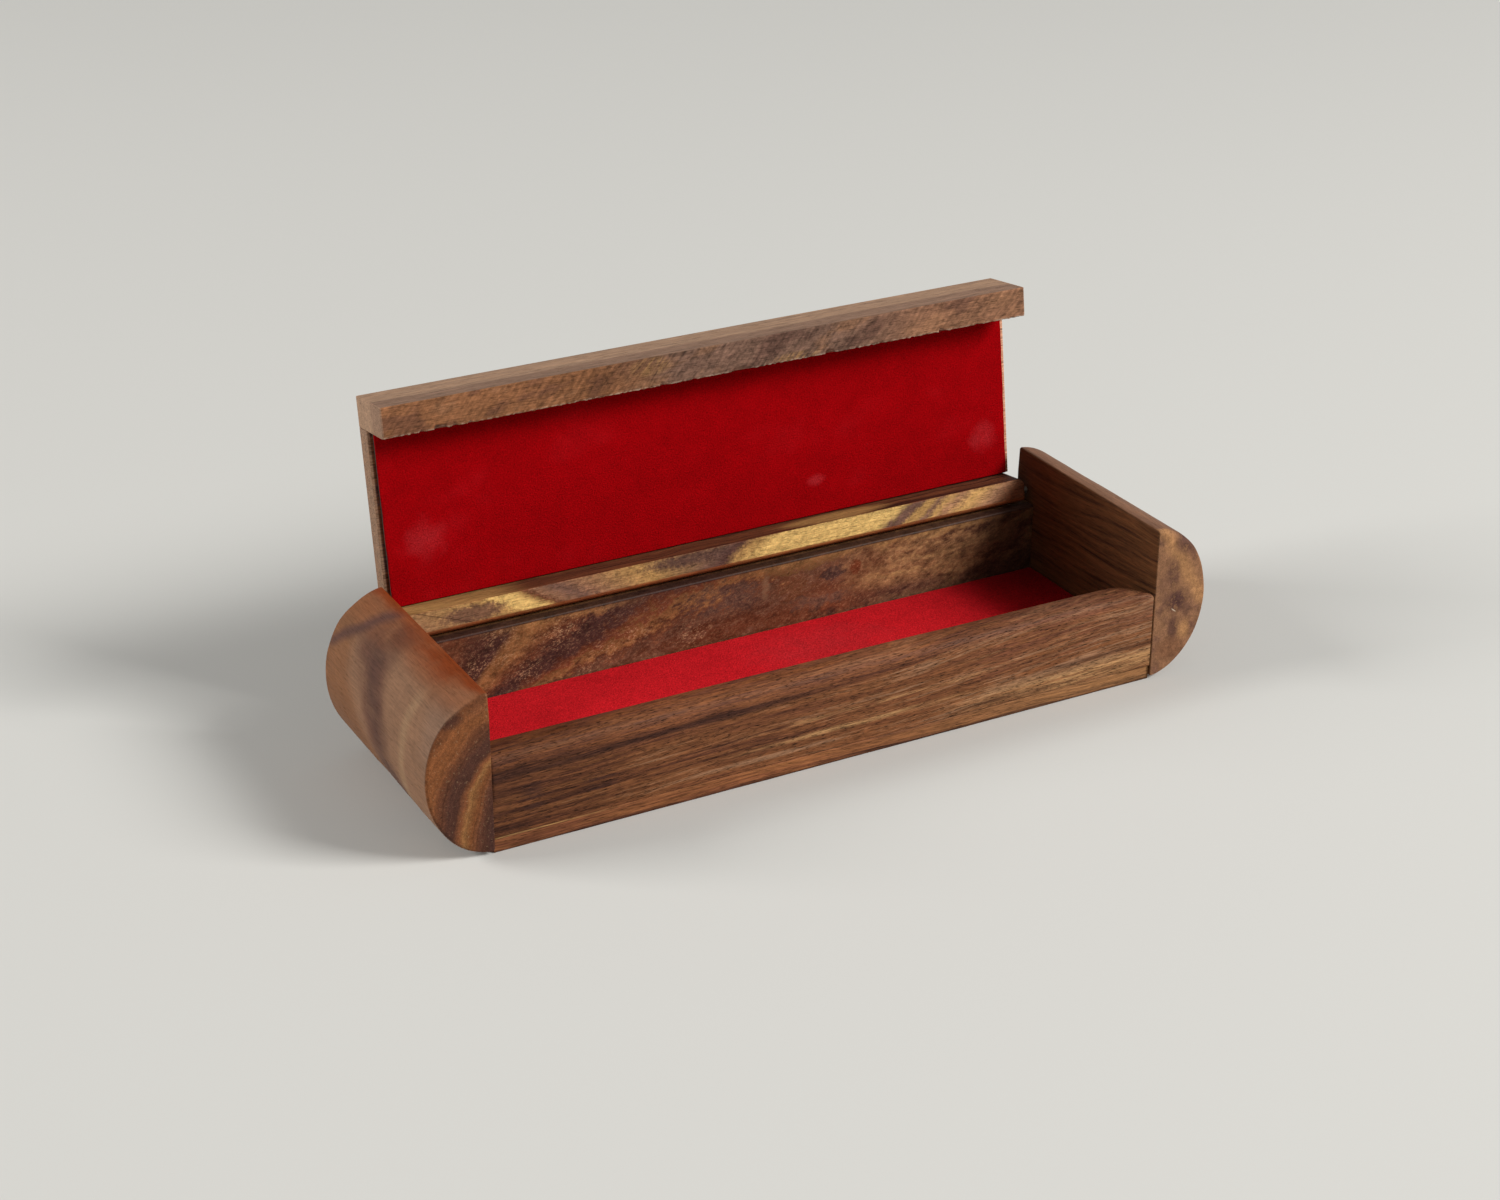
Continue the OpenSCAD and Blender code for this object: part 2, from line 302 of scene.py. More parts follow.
def left_block_wood():
    """Growth rings: dark arcs on the front face, and soft stripes round the curved side."""
    f, x, y, z = new_finish("left block rosewood")
    dark, purple, brown, golden, orange, sapwood, tan = tones("dark purple brown golden orange sapwood tan")
    drift = f.haze(0.045, 0.03, 0.045)
    wander = f.cloud(x * 0.15 + 7, y * 0.08, z * 0.15, detail=3)
    blotch = f.cloud(x * 0.1 + 3, y * 0.06, z * 0.1, detail=3)
    # The rings lie round a heart that is inside the box, low down
    ring = ((x + 80) ** 2 + ((z - 5) / 1.12) ** 2) ** 0.5 - (y + 32.75) * 0.5
    ring = ring + (drift - 0.5) * 3 + (wander - 0.5) * 3.5
    thin = f.cloud(ring * 1.4, y * 0.015, 3, detail=4, rough=0.7)
    dusk = mix(dark, purple, 0.3)
    deep = mix(dusk, brown, 0.2)
    warm = mix(golden, orange, 0.25)
    front = f.rise(y, -31.9, -32.5)
    ends = f.ramp(ring, {
        12: brown, 15.2: dusk, 19: mix(dusk, brown), 21.2: warm,
        22.8: mix(warm, sapwood, 0.12), 23.8: mix(warm, brown), 25.4: deep, 27.6: deep,
        30.2: brown, 32.4: warm, 35.5: warm, 38: mix(warm, brown)}, start=12, reach=28)
    ends = f.lay(
        ends,
        (f.spot((-104.6, -32.7, 38.2), (4.6, 3, 3)) * 0.8, dusk),
        (f.rise(ring, 33, 36) * f.rise(x, -102, -97) * 0.4, mix(warm, purple, 0.5)))
    speck = f.rise(f.haze(1.7, 1.2, 1.3, detail=3, rough=0.7), 0.58, 0.74)
    ends = f.lay(f.shade(ends, 0.1 + thin * 1.75), (speck * 0.4, mix(tan, sapwood, 0.15)))
    # Round the curved side the rings bend, and a second band climbs towards the back
    bent = ring - f.band(z, 26, 3, 12) * 3 - f.rise(y, -10, 15) * 1.5
    broken = f.rise(blotch, 0.3, 0.56) * 0.6 + 0.4
    streak = f.rise(bent, 9.5, 13.5) * f.rise(bent, 22.5, 18.5) * broken
    climb = y + z * 1.36 + (wander - 0.5) * 6
    upper = f.rise(z + (drift - 0.5) * 8 + (wander - 0.5) * 6, 37, 43)
    width = 3 + f.band(y, -10, 7, 15) * 6
    glow = f.rise((x + 94.5) * -1 / width + (wander - 0.5) * 1.4, 1.5, 0.2) * f.rise(z, 37.5, 42)
    ember = f.lay((0.19, 0.03, 0.003), (f.rise(wander, 0.35, 0.65), mix(orange, brown, 0.25)))
    # The side's pale grey-tan ground is partly the wood's colour and partly painted reflection, the oiled
    # wood's grazing sheen laid into it
    side = f.lay(
        mix(mix(tan, golden, 0.52), purple, 0.05),
        (f.rise(ring, 14.5, 9.5) * 0.9, mix(golden, tan, 0.1)),
        (streak * 0.85, mix(purple, golden, 0.28)),
        (f.band(bent, 16.6, 1.2, 3.4) * broken * 0.68, mix(purple, dark, 0.45)),
        (f.band(y + (drift - 0.5) * 8, -17, 0.4, 3) * f.rise(z, 41, 35) * 0.4,
         mix(tan, sapwood, 0.18)),
        (f.rise(ring, 32.5, 36.5) * 0.6, mix(purple, tan, 0.6)),
        (upper * 0.75, mix(mix(golden, orange, 0.45), tan, 0.1)),
        (f.band(climb, 74.6, 0.6, 3.8) * f.rise(z, 28, 33) * 0.85, purple),
        (f.spot((-97, 4.5, 43), (8, 7, 6), (blotch - 0.5) * 2) * 0.65, mix(dusk, orange, 0.3)),
        (glow * 0.85, ember))
    # Painted shade: a dark line along the rounded rim of the front face, high on the curved side, where the
    # rounding is in shade
    rim = f.band(y, -32.25, 0.15, 0.3) * f.rise(z, 18, 27) * f.rise(x, -98, -100)
    side = f.lay(f.shade(side, 0.62 + thin * 0.4 + blotch * 0.34), (rim * 0.6, dark))
    return oiled_wood(f, f.lay(side, (front, ends)), y, x, z, fibre=0.32 + front * 0.3, pores=0.35,
                      relief=0.03, gloss=0.48)


def right_block_wood():
    """A golden streak and purple patches on the front face, straight dark grain on the inner face."""
    f, x, y, z = new_finish("right block rosewood")
    dark, purple, brown, golden, sapwood, tan = tones("dark purple brown golden sapwood tan")
    drift = f.haze(0.06, 0.02, 0.06)
    wander = f.cloud(x * 0.22 + 3, y * 0.05, z * 0.22, detail=3)
    mottle = f.haze(0.6, 0.05, 0.6, detail=3, rough=0.65)
    warm = mix(golden, tan, 0.32)
    dusk = mix(dark, purple, 0.7)
    lean = (x - 98) * 0.848 + (z - 38) * 0.53 + (wander - 0.5) * 3 + y * 0.02
    streak = f.band(lean, 0.6, 0.8, 2.8) * f.rise(z, 16, 21) + f.spot((104.6, -30, 12.5), (2.6, 60, 3.6))
    # Dark patches: where their middles are, how far they reach along X and Z, and how strongly they show
    patches = ((101.8, 21.6, 4.6, 4.4, 1), (101, 13.6, 2.2, 5.4, 0.8), (100.2, 30, 3, 6, 0.7),
               (104.2, 38, 5.5, 4, 0.8), (97, 27, 2, 4, 0.4))
    face = f.lay(
        mix(warm, purple, 0.6),
        (f.rise(wander, 0.3, 0.55), warm),
        (f.rise(y, -31.5, -29) * 0.75, mix(brown, tan, 0.3)),
        (streak * f.rise(y, -30.5, -31.8) * 0.85, (0.4, 0.2, 0.085)),
        *((f.spot((across, -33, height), (wide, 60, tall)) * f.rise(mottle, 0.34, 0.5) * share, dusk)
          for across, height, wide, tall, share in patches),
        (f.spot((100.5, -33, 8), (6, 60, 4.5)) * 0.7, mix(brown, warm, 0.4)))
    nick = f.band((x - 101) * 0.61 + (z - 19) * 0.79, 0, 0.04, 0.18) \
        * f.band((x - 101) * 0.79 - (z - 19) * 0.61, 0, 0.8, 0.4) * f.rise(y, -32, -32.6)
    level = z + y * 0.05 + (drift - 0.5) * 9
    grain = f.cloud(x * 0.5, y * 0.03, level * 0.9, detail=5, rough=0.7)
    amber = mix(golden, sapwood, 0.06)
    shadow = mix(dark, amber, 0.4)
    inner = f.ramp(grain, {0.32: dark, 0.46: shadow, 0.66: mix(brown, amber, 0.55)})
    inner = f.shade(f.lay(inner, (f.rise(z, 22, 11) * 0.4, shadow)), 0.76)
    colour = f.lay(
        f.shade(face, 0.5 + mottle),
        (nick * 0.9, (0.62, 0.5, 0.36)),
        (f.rise(x, 95, 94.7), inner))
    return oiled_wood(f, colour, y, x, z, fibre=0.5, pores=0.5, relief=0.03)


def front_panel_wood():
    """Fine straight grain with a dark streak high on the left and a golden band low on the right."""
    f, x, y, z = new_finish("front panel rosewood")
    dark, purple, brown, golden, orange, tan = tones("dark purple brown golden orange tan")
    drift = f.haze(0.018, 0.05, 0.07)
    level = z + (y + 32) * 0.45 - x * 0.018 + (drift - 0.5) * 3
    # The grain climbs towards the right end, more so near the top
    climb = level - (x - 15).at_least(0) * (0.016 + z * 0.0022)
    wide = f.cloud(x * 0.012, climb * 0.24, 1)
    mid = f.cloud(x * 0.026 + 5, climb * 0.7, 4, detail=5, rough=0.7)
    fine = f.cloud(x * 0.07 + 2, climb * 2.2, 8, detail=3, rough=0.7)
    reddish = mix(brown, golden, 0.7)
    pale = (0.42, 0.23, 0.1)
    colour = f.ramp(wide * 0.36 + mid * 0.38 + fine * 0.3 - 0.02 + x * 0.0006, {
        0.385: mix(dark, brown, 0.2), 0.43: mix(dark, brown, 0.8),
        0.475: mix(brown, reddish), 0.53: reddish, 0.6: mix(golden, tan, 0.4)})
    shadow = f.band(level, 13, 5, 3.5) * f.rise(x, 25, -60)
    crown = f.rise(level + (mid - 0.5) * 3, 22, 24.5)
    crown_colour = f.lay(mix(brown, purple, 0.3),
                         (f.rise(fine, 0.4, 0.6), mix(reddish, orange, 0.2)))
    streak = f.band(level + (mid - 0.5) * 4, 21.7, 0.3, 1.2) * f.rise(x, 15, -30)
    patches = [(f.spot((across, -32, 12), (wide, 12, tall)) * f.rise(mid, 0.6, 0.44) * 0.7,
                mix(dark, purple, 0.3)) for across, wide, tall in ((-66, 6, 3.4), (-84, 4, 6))]
    grip = f.rise(fine * 0.5 + mid * 0.5, 0.43, 0.53)
    ruddy = f.rise(x, 10, 60) * f.rise(climb, 8.5, 12) * f.rise(mid, 0.56, 0.44)
    gold = f.band(level, 5.6, 2.2, 2.4) * f.rise(x, 20, 70) \
        + f.band(level, 9.4, 0.2, 0.9) * f.band(x, 5, 25, 20)
    dull = f.band(level, 4.7, 0.3, 0.8) * f.band(x, 45, 12, 20) \
        + f.band(level, 9.3, 0.3, 0.9) * f.rise(x, 50, 70)
    glint = f.band(level, 13.8, 0.2, 0.7) * f.band(x, 10, 35, 25) * grip
    colour = f.lay(
        colour,
        (shadow * f.rise(mid, 0.58, 0.42) * 0.45, dark),
        (crown * 0.6, crown_colour),
        (streak * 0.85, mix(dark, purple, 0.1)),
        *patches,
        (ruddy * 0.4, mix(purple, orange, 0.25)),
        (gold * (grip * 0.6 + 0.3), pale),
        (dull * 0.6, dark),
        (glint * 0.5, pale))
    # Painted shade and light: the face is darkened towards its left end, and the ramp's slope along X
    # lightens it to the right, as the light falls from the right
    colour = f.shade(colour, 1.08 - f.rise(x, -45, -75) * 0.2 - crown * f.rise(x, 20, 50) * 0.18)
    return oiled_wood(f, colour, x * 1.6, level * 1.15, y * 0.5, fibre=0.8, pores=1.2, gloss=0.5)


def bottom_board_wood():
    """Plain brown heartwood, paler towards its right end."""
    f, x, y, z = new_finish("bottom board rosewood")
    dark, brown, golden, sapwood = tones("dark brown golden sapwood")
    drift = f.haze(0.015, 0.04, 0.1)
    across = y * 0.6 + z + (drift - 0.5) * 7
    wide = f.cloud(x * 0.006, across * 0.2, 2, detail=3, rough=0.6)
    fine = f.cloud(x * 0.03, across * 1.1, 6, detail=4, rough=0.68)
    colour = f.ramp(wide * 0.5 + fine * 0.5, {
        0.39: dark, 0.46: brown, 0.53: mix(brown, golden), 0.61: golden})
    # Painted shade: the lowest millimetre or so of the front edge is darkened as a contact shadow where the
    # box meets the floor
    painted_contact_shadow = f.rise(z + (fine - 0.5) * 2.4, 1.5, 0.3) * f.rise(y, -31, -32)
    joint = f.band(z, 3.75, 0.05, 0.2) * f.rise(x, -55, -80)
    colour = f.lay(
        f.shade(colour, 1.4),
        (f.rise(x, -20, 90) * 0.55, (0.36, 0.19, 0.078)),
        (painted_contact_shadow * 0.75, dark),
        (joint * 0.8, mix(golden, sapwood, 0.35)))
    return oiled_wood(f, colour, x, across, y * 0.3, fibre=0.8, pores=0.9, gloss=0.58)


def back_panel_wood():
    """Mottled oiled wood: dark and orange streaks that fan out at the left, an olive curl at the right."""
    f, x, y, z = new_finish("back panel rosewood")
    dark, purple, brown, golden, orange = tones("dark purple brown golden orange")
    sapwood, tan, card = tones("sapwood tan card")
    drift = f.haze(0.05, 0.04, 0.07, detail=3)
    mottle = f.cloud(x * 0.24 + z * 0.1, y * 0.3, z * 0.46 - x * 0.16, detail=5, rough=0.7)
    grit = f.cloud(x * 1 + z * 0.7, y, z * 1.9 - x * 0.8, detail=4, rough=0.8)
    edge = (mottle - 0.5) * 6 + (grit - 0.5) * 2
    dusk = mix(dark, purple, 0.35)
    lit = mix(golden, sapwood, 0.09)
    ruddy = mix(brown, orange, 0.25)
    olive = mix(mix(golden, sapwood, 0.16), tan, 0.2)

    def place(across, height, wide, tall, wander=0):
        """A spot on the inner face, with its reach along X and Z."""
        return f.spot((across, 24, height), (wide, 8, tall), wander)

    fan = (z - 1) / (x + 86).at_least(4) + (mottle - 0.5) * 0.34 + (drift - 0.5) * 0.25
    colour = f.ramp(fan, {
        0.00: dusk, 0.09: ruddy, 0.15: brown, 0.21: mix(purple, lit, 0.3),
        0.26: brown, 0.31: lit, 0.36: ruddy, 0.43: dusk, 0.54: dusk, 0.66: brown,
        0.84: lit, 1.02: lit, 1.2: dusk, 2.4: mix(dusk, brown), 3: brown}, reach=3)
    swirl = ((x - 66) ** 2 * 0.1 + (z - 30) ** 2) ** 0.5 + (drift - 0.5) * 16 + (mottle - 0.5) * 3
    lines = f.cloud(swirl * 0.32, x * 0.02, 2, detail=4, rough=0.6)
    curl = f.ramp(lines * 0.7 + mottle * 0.3, {
        0.36: mix(dark, brown), 0.45: mix(brown, olive), 0.52: olive,
        0.6: mix(olive, sapwood, 0.18)})
    curl = f.lay(curl, (f.rise(z + (drift - 0.5) * 14, 17, 12) * 0.75, mix(dark, purple)))
    # Painted light: a lighter golden band along the top of the inner face, where light falls on the top
    # edge
    top = f.rise(z + (mottle - 0.5) * 7, 25.6, 28)
    knot = f.spot((37.5, 24, 22.3), (2.3, 4, 2.8), (grit - 0.5) * 1.2, soft=0.2)
    # Painted highlights: pale flecks laid into the colour stand for glints on the oiled surface, thicker at
    # these places
    painted_gloss_flecks = 0.22
    for across, height, size in ((-51, 22.5, 5), (-48, 25.5, 4), (-60, 14.5, 4.5), (-38, 15, 4),
                                 (-43, 10.6, 3), (-67, 26, 4.5), (-73, 19, 4.5), (-12, 14, 5),
                                 (-29, 18, 4), (-92.5, 12, 4), (-66, 20, 3)):
        painted_gloss_flecks = painted_gloss_flecks + place(across, height, size * 1.4, size) * 0.5
    grain = f.cloud(x * 0.012, z * 0.35 + drift * 1.5, 7, detail=5, rough=0.68)
    plain = f.ramp(grain, {0.38: dusk, 0.46: brown, 0.54: mix(brown, lit), 0.62: lit})
    colour = f.lay(
        colour,
        (place(-2, 22, 14, 5.5, edge) * 0.7, mix(purple, tan, 0.18)),
        (place(4, 12.5, 24, 3.2, edge) * 0.7, ruddy),
        (place(18.5, 20.5, 7, 4.5, edge) * 0.7, mix(ruddy, lit, 0.3)),
        (place(20, 28, 17, 3.8, edge) * 0.8, mix(lit, sapwood, 0.08)),
        (place(9.6, 22.5, 1.6, 4.5, edge) * 0.7, mix(lit, tan, 0.5)),
        (place(31, 21.3, 4.5, 3.6, edge) * 0.8, mix(purple, card)),
        (place(27, 15.2, 12, 2.6, edge) * 0.6, mix(purple, tan, 0.35)),
        (f.rise(x + (drift - 0.5) * 40, 26, 52), curl),
        (top * (f.band(x, -50, 18, 10) + f.rise(x, 5, 15)) * 0.6, mix(lit, sapwood, 0.12)),
        (knot, mix(orange, dark, 0.5)),
        (f.rise(grit, 0.5, 0.66) * painted_gloss_flecks, (0.42, 0.26, 0.14)),
        # Painted shade: the right end of the inner face is darkened where the right block shades it
        (f.rise(x, 62, 88) * 0.7, dark),
        (f.rise(y, 26, 28) * 0.85, plain),
        # Painted shade: a dark band along the top edge deepens the shadow in the gap under the rail
        (f.rise(z, 27.75, 28.15) * f.rise(y, 28.2, 26.6) * 0.92, dark))
    colour = f.shade(colour, (mottle * 2.6 + grit * 1.8 - 1.15) * (1 - f.band(x, 2, 22, 16) * 0.17))
    return f.surface({"Base Color": colour, "Roughness": 0.42 + mottle * 0.2, "Specular IOR Level": 0.2},
                     mottle + grit * 0.8, 0.12)


def saw_marks(f, x, y, pitch):
    """Height of the slanting marks that a circular saw leaves on a sawn face."""
    wobble = f.cloud(x * 0.08, y * 0.08, 0)
    run = (x + y) * 0.70711 + (wobble - 0.5) * 3
    return f.cloud(run / pitch, (x - y) * 0.09, 4, rough=0.6)


def lid_rail_wood():
    """Golden sapwood and purple patches on the sawn lower face, brown above, orange at the edge."""
    f, x, y, z = new_finish("lid rail rosewood")
    dark, purple, brown, golden, orange = tones("dark purple brown golden orange")
    sapwood, tan, card = tones("sapwood tan card")
    drift = f.haze(0.07, 0.12, 0.12)
    fine = f.haze(0.9, detail=3, rough=0.7)
    saw = saw_marks(f, x, y, 1.1)
    gold = mix(golden, sapwood, 0.4)
    dull = mix(golden, tan, 0.45)
    dusk = mix(purple, tan, 0.25)
    # The bands lean to the left in the left half, and to the right in the right half
    slant = x + (y - 27) * (f.rise(x, -40, -5) * 3.2 - 1.7) + (drift - 0.5) * 7 + (fine - 0.5) * 6
    # The last stops, dull and then brown, darken the face towards its right end: painted shade where the
    # right block shades it
    face = f.ramp(slant, {
        -96: dull, -66: gold, -63: sapwood, -58: sapwood, -54: brown, -51: dull,
        -46: dusk, -42: dull, -24: gold, -3: dusk, 1: purple, 5: gold, 12: sapwood,
        30: sapwood, 49: sapwood, 52: dusk, 55: dusk, 57: gold, 59: gold, 62: dusk,
        65: gold, 69: dull, 75: gold, 83: dull, 90: brown}, start=-96, reach=190)
    patch = f.spot((-73, 27.6, 29.5), (10.5, 2.8, 3), (fine - 0.5) * 1.6, soft=0.2)
    upper_patch = f.spot((-12, 26, 29.5), (17, 2.6, 3), (fine - 0.5) * 1.6)
    crack = f.band(y - 27.4 - (x + 80) * 0.36, 0, 0.02, 0.16) * f.rise(x, -70, -73)
    face = f.lay(
        face,
        (patch * 0.85, mix(dusk, brown, 0.3)),
        (upper_patch * 0.9, mix(purple, card, 0.3)),
        (f.rise(y + (fine - 0.5), 24.9, 24.2) * 0.7, mix(brown, orange, 0.4)),
        (crack * 0.8, dark))
    face = f.shade(face, (fine * 1.4 + saw * 0.7 + 0.08)
                   * (1.06 - f.rise(x, -40, 5) * 0.14 + f.rise(x, 45, 75) * 0.5))
    across = z + (drift - 0.5) * 5
    grain = f.cloud(x * 0.012, y * 0.3, across * 0.8, detail=4, rough=0.65)
    upper = f.ramp(grain, {0.38: dark, 0.47: brown, 0.55: brown, 0.66: golden})
    ends = f.rise(x, -55, -68) + f.spot((34, 24, 33), (20, 5, 4), soft=0.2)
    low_face = f.rise(z, 29.85, 29.6)
    edge = f.rise(y, 29.55, 29.95) * f.rise(z, 34, 31)
    colour = f.lay(
        upper,
        (ends * 0.8, gold),
        (low_face, face),
        (edge * 0.92, f.lay(orange, (fine, mix(orange, golden)))))
    return oiled_wood(f, colour, x, across, y, fibre=0.5, pores=0.5, relief=0.14, gloss=0.6,
                      height=saw * low_face * 1.4)


def lid_lip_wood():
    """Rough sawn lower face with slanting marks, and a planed front in two long stripes."""
    f, x, y, z = new_finish("lid lip rosewood")
    dark, purple, golden, sapwood, tan = tones("dark purple golden sapwood tan")
    drift = f.haze(0.035, 0.1, 0.1)
    broad = f.cloud((x + y) * 0.06, y * 0.12 + drift, z * 0.12, detail=3, rough=0.6)
    fine = f.haze(0.8, detail=3, rough=0.7)
    saw = saw_marks(f, x, y, 0.9)
    grey = mix(purple, tan, 0.35)
    left = f.rise(x + (drift - 0.5) * 30, -14, -34)
    face = f.lay(
        grey,
        (left * 0.9 + f.rise(x, 30, 70) * 0.5, mix(golden, tan, 0.08)),
        (f.rise(broad, 0.53, 0.64) * 0.6, mix(golden, tan, 0.35)),
        (f.rise(broad, 0.47, 0.37) * 0.5, mix(dark, purple)),
        *((f.spot(centre, size) * f.rise(saw, 0.4, 0.55) * 0.5, mix(golden, sapwood, 0.3))
          for centre, size in (((-20, -27.5, 26.5), (7, 3, 2)), ((22, -23, 26.5), (9, 1.5, 2)))))
    face = f.shade(face, 0.9 + (saw - 0.5) * 1.6 + (fine - 0.5) * 1.6 + f.rise(abs(x), 30, 60) * 0.32)
    torn = f.band(y, -22, 0.15, 0.5) * f.rise(fine, 0.42, 0.6)
    face = f.lay(face, (torn * 0.7, mix(tan, (0.75, 0.62, 0.5), 0.4)))
    level = z + (drift - 0.5) * 3.5
    stripe = f.cloud(x * 0.008, 2, level * 0.9, detail=4, rough=0.65)
    front = f.lay(
        mix(grey, tan, 0.3),
        (f.rise(level, 32.6, 34.2), tan),
        (f.rise(stripe, 0.52, 0.66) * f.rise(level, 33, 35) * 0.5, mix(golden, tan)))
    end = f.lay(mix(grey, tan, 0.6), (f.rise(level, 31.5, 34), tan))
    low_face = f.rise(z, 26.85, 26.6)
    colour = f.lay(
        f.shade(front, 0.55 + stripe * 0.9),
        (low_face, face),
        (f.rise(abs(x), 92.3, 92.6) * 0.8, f.shade(end, 0.7 + fine)))
    return oiled_wood(f, colour, x, level, y, fibre=0.5, pores=0.6, relief=0.1, gloss=0.62,
                      height=saw * low_face * 1.4)


def lid_panel_wood():
    """Long cathedral figure across the back of the lid, and tan sawn ends."""
    f, x, y, z = new_finish("lid panel rosewood")
    dark, purple, brown, golden, tan = tones("dark purple brown golden tan")
    drift = f.haze(0.012, 0.03, 0.1)
    ring = ((y - 2) ** 2 + (x * 0.1 + 4) ** 2) ** 0.5 + (drift - 0.5) * 18
    wide = f.cloud(ring * 0.16, x * 0.004, 3, detail=3, rough=0.55)
    fine = f.cloud(ring * 1.1, x * 0.015, z * 0.6, detail=4, rough=0.68)
    colour = f.lay(
        f.ramp(wide * 0.6 + fine * 0.4, {
            0.38: dark, 0.45: purple, 0.52: mix(brown, golden, 0.3), 0.61: golden}),
        (f.rise(abs(x), 91.9, 92.3) * 0.85, f.lay(tan, (fine, mix(tan, golden, 0.3)))),
        (f.rise(x, 91.2, 91.5) * f.rise(z, 41.5, 39.5),
         f.lay((0.72, 0.38, 0.24), (fine, (0.55, 0.26, 0.15)))))
    return oiled_wood(f, colour, x, y, z, fibre=0.85, pores=0.9, gloss=0.5)


def velvet_cloth(name, base, level, patches, right_end_painted_shade=0):
    """Short red pile with pale rubbed patches and specks of lint; painted shade may darken it towards the
    right.
    """
    f = Finish(name)
    plain, rubbed = tones(base + " rubbed")
    pile = f.haze(2.4, detail=3, rough=0.75)
    lay = f.haze(0.05, 0.07, 0.07, detail=3)
    brushed = f.haze(0.2, detail=4, rough=0.6)
    rub = f.rise(lay, 0.56, 0.8) * 0.05
    for across, deep, wide, long, strength in patches:
        patch = f.spot((across, deep, level), (wide, long, 6), (brushed - 0.5) * 1.8, soft=-0.3)
        rub = rub + patch * (0.25 + pile) * strength
    # Painted shade: the pile is darkened towards the right end, where the right block shades the floor
    light = (pile * 1.9 + lay * 0.35 + brushed * 0.4 - 0.32) * (1 - f.rise(f.x, 60, 96) * right_end_painted_shade)
    lint = f.add("ShaderNodeTexVoronoi", None, {"Vector": f.join(f.x * 0.05, f.y * 0.05, 0), "Scale": 1})
    colour = f.lay(f.shade(f.lay(plain, (rub, rubbed)), light),
                   (f.rise(lint, 0.016, 0.008) * 0.5, (0.7, 0.36, 0.34)))
    return f.surface({
        "Base Color": colour, "Roughness": 1, "Specular IOR Level": 0.02, "Sheen Weight": 0.08,
        "Sheen Roughness": 0.45, "Sheen Tint": (0.9, 0.04, 0.06, 1)}, pile + brushed * 0.6, 0.3)


def card_stock():
    """Grey card, a little fibrous."""
    f = Finish("grey card")
    card, tan = tones("card tan")
    speck = f.haze(1.2, detail=3)
    colour = f.lay(card, (f.rise(speck, 0.35, 0.65), mix(card, tan, 0.25)))
    return f.surface({"Base Color": colour, "Roughness": 0.85 + speck * 0.1})


def plain_wood():
    """Light unfinished wood of the hidden floor board and the dowels."""
    f = Finish("plain light wood")
    grain = f.haze(0.02, 0.8, 0.8, detail=4, rough=0.6)
    colour = f.ramp(grain, {0.3: (0.32, 0.19, 0.095), 0.7: (0.52, 0.36, 0.2)})
    return f.surface({"Base Color": colour, "Roughness": 0.6 + grain * 0.2}, grain, 0.05)


def drawn_steel():
    """Drawn wire, dulled by age."""
    f = Finish("dull steel wire")
    drawn = f.haze(0.3, 6, 6, detail=3)
    colour = f.lay((0.12, 0.1, 0.085), (drawn, (0.26, 0.24, 0.21)))
    return f.surface({"Base Color": colour, "Roughness": 0.4 + drawn * 0.25, "Metallic": 1})


# Meshes

def grid_lines(low, high, turns, cell):
    """Where mesh lines cross one side of a board: close together over the radius of each end."""
    steps, digits, least = 4, 4, 0.02

    def near(end, into, radii):
        return {round(end + into * radius * (1 - math.tan(math.radians(45 * step / steps))), digits)
                for radius in radii for step in range(steps + 1)}

    start, end = low + max(turns[0]), high - max(turns[1])
    count = max(1, round((end - start) / cell))
    lines = near(low, 1, turns[0]) | near(high, -1, turns[1])
    lines |= {round(start + (end - start) * i / count, digits) for i in range(count + 1)}
    kept = []
    for line in sorted(lines):
        if not kept or line - kept[-1] > least:
            kept.append(line)
    kept[-1] = high
    return kept


def board(low, high, cells, turns, ease, warp=None):
    """Points and faces of a board; ease gives the radii along X, Y and Z near a place on it."""
    lines = [grid_lines(low[axis], high[axis], turns[axis], cells[axis]) for axis in range(3)]
    last = [len(line) - 1 for line in lines]
    points, index, faces = [], {}, []

    def point(key):
        if key not in index:
            flat = Vector(lines[axis][key[axis]] for axis in range(3))
            radii = ease(flat)
            inner = Vector(min(max(flat[axis], low[axis] + radii[axis]), high[axis] - radii[axis])
                           for axis in range(3))
            away = Vector((flat[axis] - inner[axis]) / radii[axis] for axis in range(3))
            away.normalize()
            place = Vector(inner[axis] + away[axis] * radii[axis] for axis in range(3))
            index[key] = len(points)
            points.append(warp(place) if warp else place)
        return index[key]

    for axis in range(3):
        u, v = (axis + 1) % 3, (axis + 2) % 3
        for side, i, j in product((0, last[axis]), range(last[u]), range(last[v])):
            keys = [{axis: side, u: a, v: b} for a, b in ((i, j), (i + 1, j), (i + 1, j + 1), (i, j + 1))]
            corners = [point((key[0], key[1], key[2])) for key in keys]
            faces.append(corners if side else corners[::-1])
    return points, faces


def soft_step(value, low, high):
    share = min(max((value - low) / (high - low), 0), 1)
    return share * share * (3 - 2 * share)


def both(radius):
    """The same radius at both ends of one side."""
    return (radius,), (radius,)


def put(name, data):
    """Makes an object of a mesh, lamp or camera."""
    made = bpy.data.objects.new(name, data)
    bpy.context.scene.collection.objects.link(made)
    return made


def put_mesh(name, points, faces, material):
    mesh = bpy.data.meshes.new(name)
    mesh.from_pydata(points, [], faces)
    mesh.update()
    mesh.materials.append(material)
    return put(name, mesh)


def piece(node, shape, material, name=None, slot=None):
    """Makes a mesh piece, gives it its material and body, and lets it stand for its node."""
    points, faces = shape
    name = name or node + "_wood"
    body = "lid" if node.startswith("lid_") else "box"
    made = put_mesh(name, [point * MM for point in points], faces, material)
    if body == "lid":
        made.matrix_world = LID_OPEN
    made.data.shade_smooth()
    made.modifiers.new("even shading", "WEIGHTED_NORMAL")
    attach(made, body)
    slot or name
    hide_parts(node)
    return made


